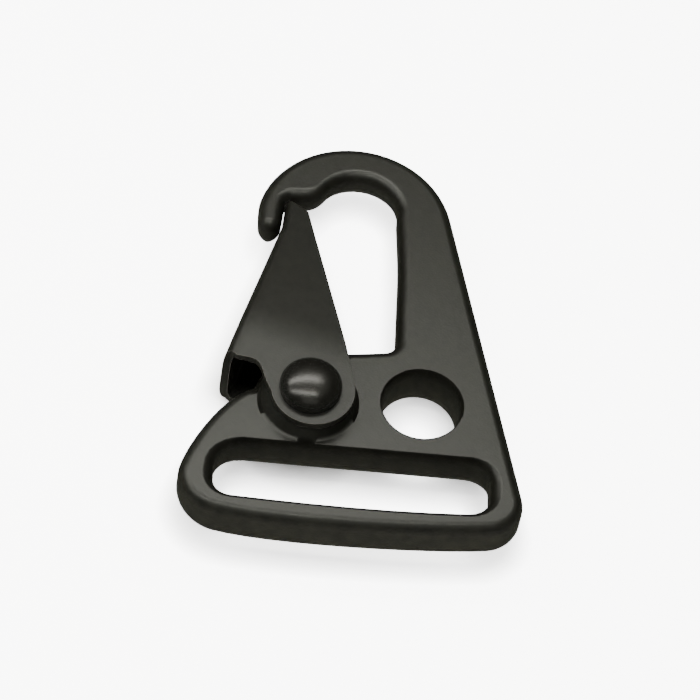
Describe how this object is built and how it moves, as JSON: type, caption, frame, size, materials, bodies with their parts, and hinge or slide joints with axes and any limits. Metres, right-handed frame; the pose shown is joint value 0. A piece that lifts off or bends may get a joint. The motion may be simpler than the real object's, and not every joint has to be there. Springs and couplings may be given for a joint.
{
  "type": "snap_hook",
  "caption": "Cast snap hook with a webbing slot, a round eyelet and a sprung folded-sheet gate on a domed rivet",
  "frame": {"origin": "Centre of the round eyelet, on the casting's parting plane", "axes": "+X runs along the webbing slot towards the eyelet's side, +Y runs up to the crown of the hook, +Z runs out of the face with the rivet's domed head"},
  "size_m": [0.0398, 0.0548, 0.0136],
  "materials": {
    "satin_black_casting": "satin black phosphate over cast steel, worn a little grey on its edges",
    "satin_black_sheet": "satin black phosphate over folded sheet steel",
    "black_rivet_steel": "black oxide over a smooth riveted steel pin",
    "spring_steel": "bright drawn spring wire"
  },
  "bodies": {
    "frame": {"hook_body": "satin_black_casting", "rivet": "black_rivet_steel", "gate_spring": "spring_steel"},
    "gate": {"gate": "satin_black_sheet"}
  },
  "joints": [
    {"name": "gate_hinge", "type": "hinge", "parent": "frame", "child": "gate", "pos_m": [-0.01327, -0.00112, 0], "axis": [0, 0, -1], "range_deg": [0, 21], "stiffness_Nm_per_rad": 0.05, "springref_deg": -34.38, "deforming": ["gate_spring"]}
  ]
}
